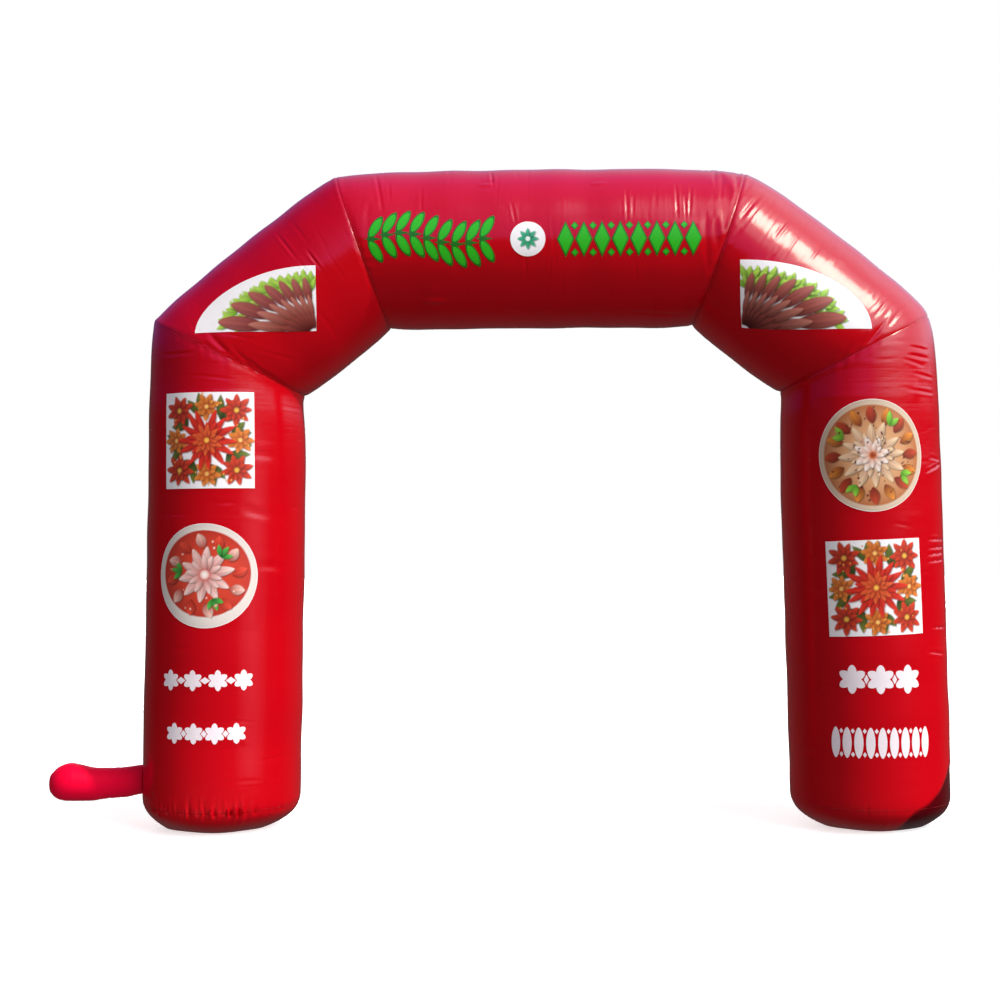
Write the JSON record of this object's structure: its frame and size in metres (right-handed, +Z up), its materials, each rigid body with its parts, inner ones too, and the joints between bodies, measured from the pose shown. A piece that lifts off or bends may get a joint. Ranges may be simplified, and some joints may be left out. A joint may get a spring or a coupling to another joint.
{
  "type": "inflatable arch",
  "caption": "Walk-through inflatable entrance arch of straight air-filled cloth tubes with mitred seams, rounded feet, a blower sleeve and printed films.",
  "frame": {"origin": "on the ground, at the middle of the whole footprint, the blower sleeve included", "axes": "+Z up, +X from the leg with the blower sleeve to the other leg, -Y the way the printed front faces"},
  "size_m": [6.6854, 1.17, 4.866],
  "materials": {
    "arch_cloth": "glossy coated cloth",
    "foot_cloth": "glossy coated cloth",
    "sleeve_cloth": "thin coated cloth",
    "printed_film": "satin printed film"
  },
  "bodies": {
    "root": {"left_leg": "arch_cloth", "right_leg": "arch_cloth", "left_shoulder": "arch_cloth", "right_shoulder": "arch_cloth", "top_beam": "arch_cloth", "left_foot_panel": "foot_cloth", "right_foot_panel": "foot_cloth", "inflation_sleeve": "sleeve_cloth", "left_leg_square_print": "printed_film", "left_leg_round_print": "printed_film", "right_leg_oval_print": "printed_film", "right_leg_square_print": "printed_film", "left_shoulder_print": "printed_film", "right_shoulder_print": "printed_film", "beam_emblem": "printed_film"}
  },
  "joints": []
}
